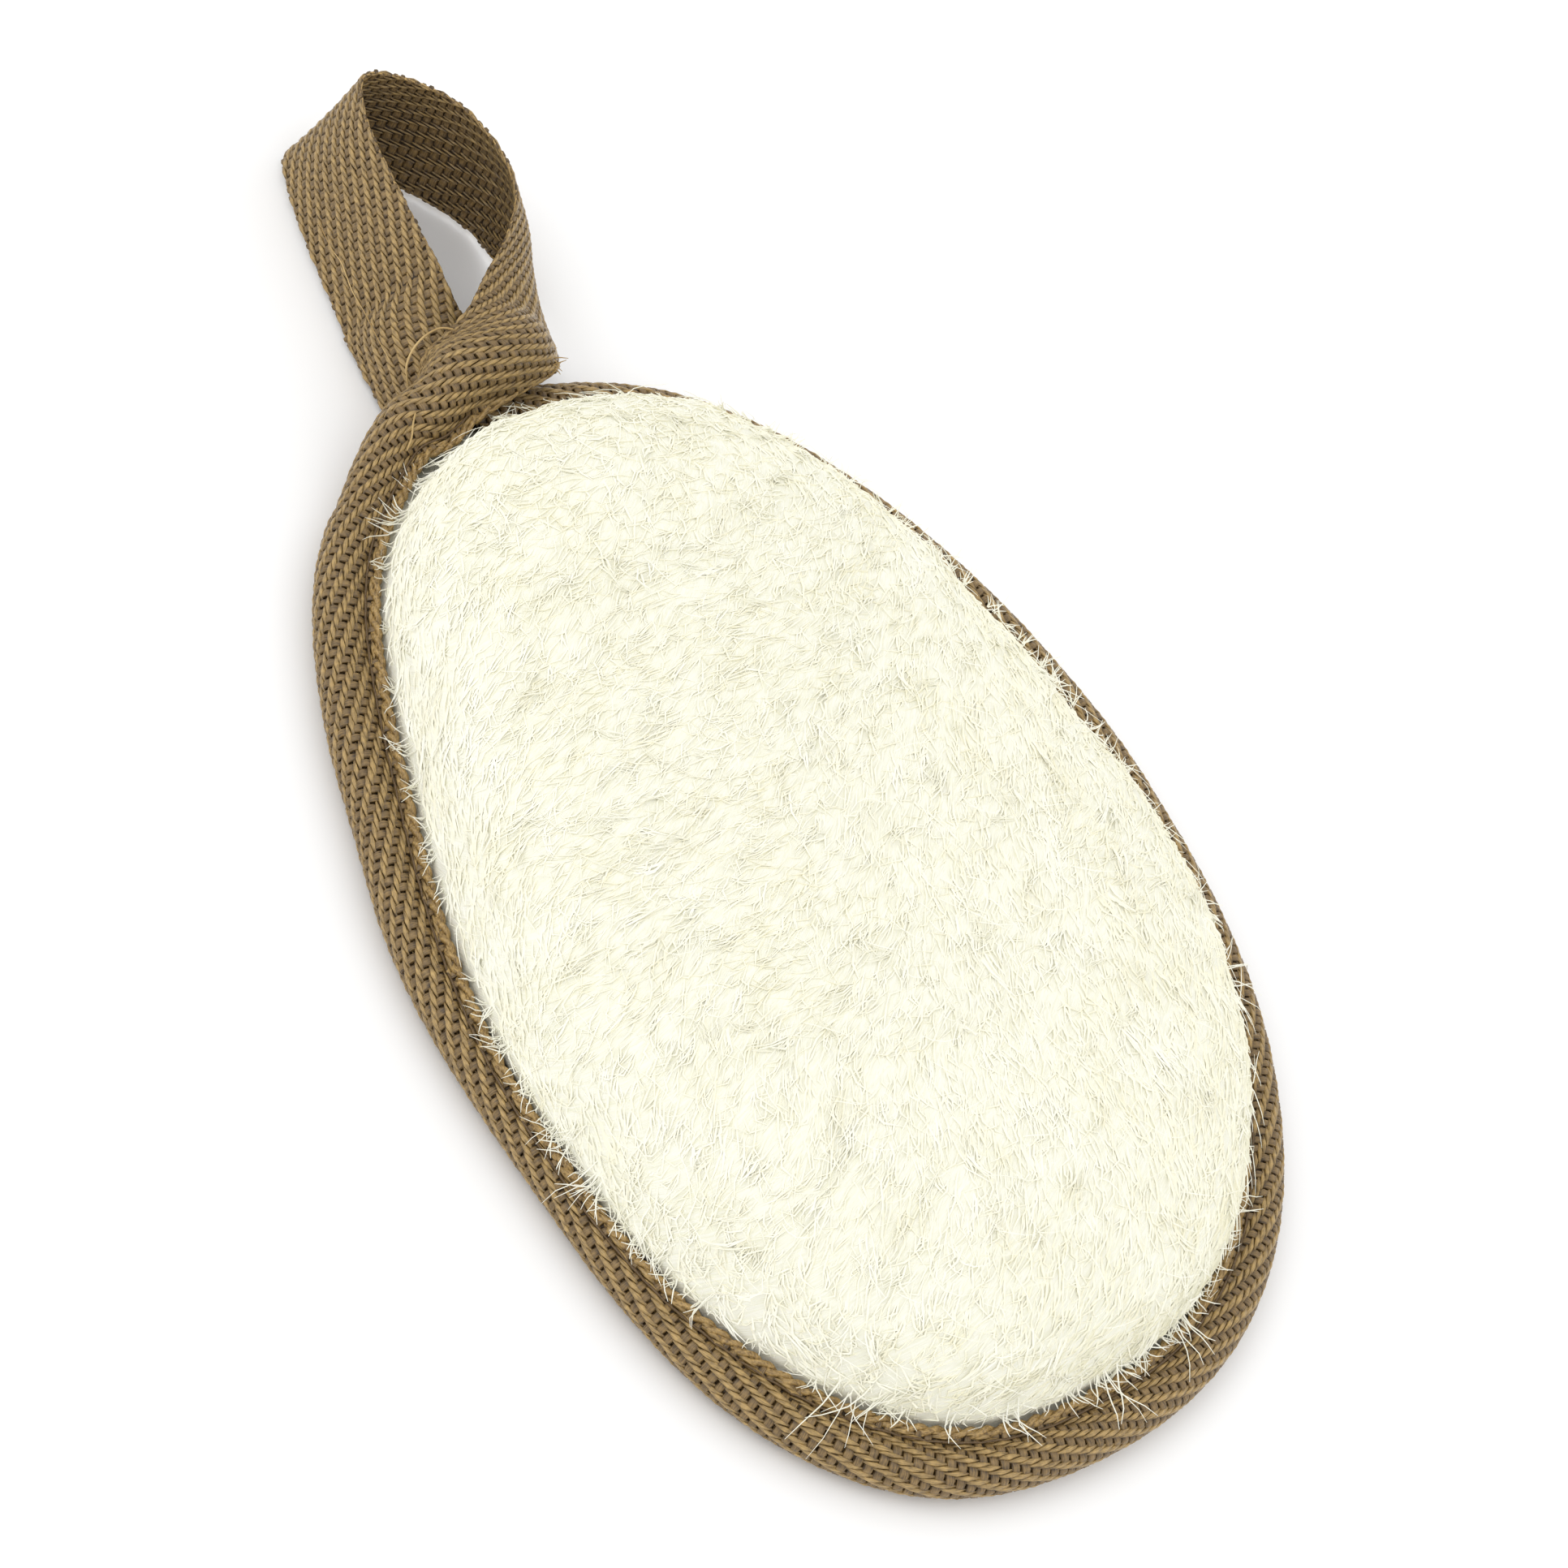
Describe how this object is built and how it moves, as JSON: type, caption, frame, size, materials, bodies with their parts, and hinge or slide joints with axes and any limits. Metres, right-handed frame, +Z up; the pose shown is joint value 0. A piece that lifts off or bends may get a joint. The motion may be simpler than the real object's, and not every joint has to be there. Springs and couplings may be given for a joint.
{
  "type": "oval loofah pad with hanging loop",
  "caption": "Domed oval pad of pale loofah fibre, bound round the rim with brown woven tape that runs on into a hanging loop.",
  "frame": {"origin": "centre of the flat cloth back, at the surface that the pad lies on", "axes": "+Z up out of the domed loofah face, +X along the pad away from the hanging loop, +Y towards the pad's straighter long side"},
  "size_m": [0.2088, 0.1114, 0.0302],
  "materials": {
    "loofah_fibre": "matte",
    "cotton_terry": "matte",
    "woven_tape": "matte",
    "sewing_thread": "satin"
  },
  "bodies": {
    "root": {"loofah_pad": "loofah_fibre", "back_cloth": "cotton_terry", "binding_tape": "woven_tape", "seam_thread_top": "sewing_thread", "seam_thread_under": "sewing_thread"}
  },
  "joints": []
}
